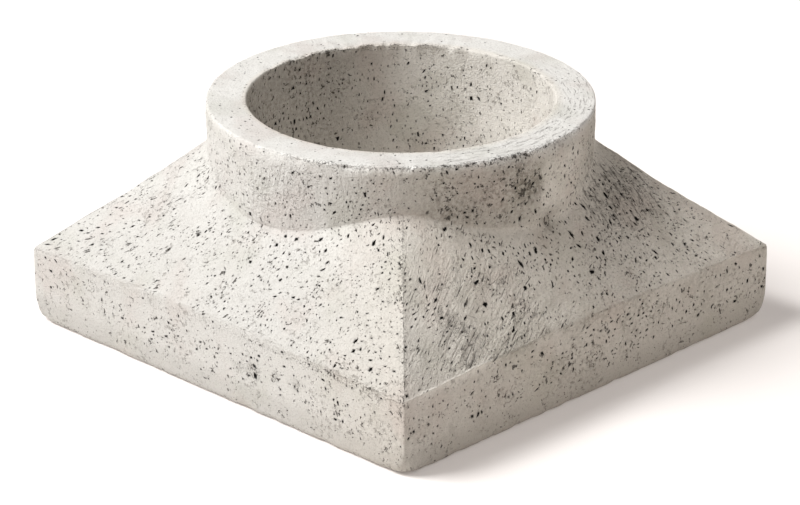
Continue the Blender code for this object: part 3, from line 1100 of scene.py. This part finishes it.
# painted shade in the specks, tears, crumbs, pocks and holes
base = coated(base, [
    (CREVICE_SHADE, fine_specks, 0, 1, 0.75),
    (CREVICE_SHADE, tears, 0, 1, 0.55),
    (CREVICE_SHADE, dark_crumbs, 0, 1, 0.55),
    (CREVICE_SHADE, pocks, 0, 1, 0.85),
    (HOLE_SHADE, mask["hole"], 0.26, 0.56, 1.0),
])
print("nodes up to here:", len(tree.nodes))

# %% Relief too fine for the mesh
pebbled = add("Math", PLUS, wrinkle, add("MapRange", EASED, pebbles, 0, 1, 0, 0.8))
tears_or_scratches = add("Math", LARGER, tears, scratches)
marks = add("Math", LARGER, fine_specks, add("Math", LARGER, pocks, tears_or_scratches))
BUMPS = {  # how high each pattern stands, from its 0 to its 1
    2.8 * MM: add("Math", TIMES, pebbled, mask["wrinkled"]),
    -1.2 * MM: crackle,
    0.55 * MM: grain,
    -0.6 * MM: add("Math", PLUS, add("MapRange", EASED, scuffs, 0, 1, 0, 0.6), marks),
}
surface = None
for height, pattern in BUMPS.items():
    surface = add("Bump", {}, 1.0, height, None, pattern, surface)

roughness = add("MapRange", EASED, mottle, 0.3, 0.7, 0.82, 0.96)
tree.links.new(base.outputs[2], shader.inputs["Base Color"])  # a Mix's third result is its colour
tree.links.new(surface.outputs["Normal"], shader.inputs["Normal"])
tree.links.new(roughness.outputs["Result"], shader.inputs["Roughness"])
mesh.materials.append(concrete)
print("nodes in the concrete:", len(tree.nodes))

# %% [markdown]
# ## The studio
#
# A pale floor, a large soft light from the left, a weak one from the far right, and a pale sky that
# fills the shadows and turns to haze at the horizon. The first light stands low enough to graze the
# right slope, which brings out its furrows. The second lifts the collar's right side and the left
# wall of the bore.

# %% Floor
FLOOR_SIDE = 12.0
floor_corners = FLOOR_SIDE / 2 * np.array([(-1, -1, 0), (1, -1, 0), (1, 1, 0), (-1, 1, 0)])
floor_mesh = bpy.data.meshes.new("floor")
floor_mesh.from_pydata(floor_corners.tolist(), [], [(0, 1, 2, 3)])
show("floor", floor_mesh)
paper, _ = material(
    "pale_floor",
    Base_Color=linear("#E7E3E0"), Roughness=0.9, Specular_IOR_Level=0.1,
    Emission_Color=linear("#FFF6F2"), Emission_Strength=0.15,  # lit a little, as a light table is
)
floor_mesh.materials.append(paper)
print(f"a floor of {FLOOR_SIDE:.0f} m")

# %% Lights


def direction(azimuth, elevation):
    """The unit vector that points back along a view: azimuth 0 is seen from -Y, 90 from +X."""
    a, e = math.radians(azimuth), math.radians(elevation)
    return np.array([math.sin(a) * math.cos(e), -math.cos(a) * math.cos(e), math.sin(e)])


def aim(obj, place, target):
    """Put an object at a place with its -Z axis towards the target and its Y axis up."""
    back = np.array(place) - target
    back /= np.linalg.norm(back)
    right = np.cross([0, 0, 1], back)
    right /= np.linalg.norm(right)
    matrix = np.eye(4)
    matrix[:3] = np.column_stack([right, np.cross(back, right), back, place])
    obj.matrix_world = Matrix(matrix.tolist())


LIGHT_SIDE = 4.0
LIGHT_DISTANCE = 8.0
LIT_POINT = np.array([0, 0, 0.09])  # the middle of the block
LIGHTS = {  # azimuth, elevation and watts
    "window_light": (-41, 48, 905),
    "fill_light": (105, 50, 150),
}
for name, (azimuth, elevation, watts) in LIGHTS.items():
    lamp = bpy.data.lights.new(name, "AREA")
    lamp.size = LIGHT_SIDE
    lamp.energy = watts
    aim(show(name, lamp), LIT_POINT + LIGHT_DISTANCE * direction(azimuth, elevation), LIT_POINT)
    print(f"{name}: {watts} W over {LIGHT_SIDE:.0f} m")

# %% Sky
SKY_STRENGTH = 0.19
HORIZON_STRENGTH = 0.62
HAZE_HEIGHT = 0.07  # how far up the haze reaches, as the sine of the angle above the horizon

sky = bpy.data.worlds.new("pale_sky")
sky.use_nodes = True
sky_tree = sky.node_tree
looking = add("TexCoord", {}, tree=sky_tree).outputs["Generated"]
steepness = add("SeparateXYZ", {}, looking, tree=sky_tree).outputs["Z"]
haze = add(
    "MapRange", EASED, steepness, 0.0, HAZE_HEIGHT, HORIZON_STRENGTH, SKY_STRENGTH, tree=sky_tree
)
background = sky_tree.nodes["Background"]
background.inputs["Color"].default_value = linear("#FFF3EC")
sky_tree.links.new(haze.outputs["Result"], background.inputs["Strength"])
bpy.context.scene.world = sky
bpy.context.scene.view_settings.view_transform = "Standard"
print(f"the sky's strength falls from {HORIZON_STRENGTH} to {SKY_STRENGTH}")

# %% [markdown]
# ## The camera
#
# The photograph looks down at one corner from about 23 degrees, a little to the left of the block's
# diagonal, with a long lens. The angles and the distance come from where its edges meet the frame.

# %% Camera
CAMERA_AZIMUTH = 44.445
CAMERA_ELEVATION = 22.81
CAMERA_DISTANCE = 2.7725
CAMERA_TARGET = np.array([0, 0, 0.06])
SENSOR_WIDTH = 36.0
PICTURE_WIDTH = 800
FOCAL_PIXELS = 3611.4
DOWN_SHIFT_PIXELS = 7.6
RIGHT_SHIFT_PIXELS = 0.8

camera_data = bpy.data.cameras.new("camera")
camera_data.sensor_width = SENSOR_WIDTH
camera_data.lens = FOCAL_PIXELS * SENSOR_WIDTH / PICTURE_WIDTH
camera_data.shift_x = -RIGHT_SHIFT_PIXELS / PICTURE_WIDTH
camera_data.shift_y = -DOWN_SHIFT_PIXELS / PICTURE_WIDTH
camera = show("camera", camera_data)
way_back = CAMERA_DISTANCE * direction(CAMERA_AZIMUTH, CAMERA_ELEVATION)
aim(camera, CAMERA_TARGET + way_back, CAMERA_TARGET)
bpy.context.scene.camera = camera
print(f"a lens of {camera_data.lens:.0f} mm, {CAMERA_DISTANCE:.1f} m away")
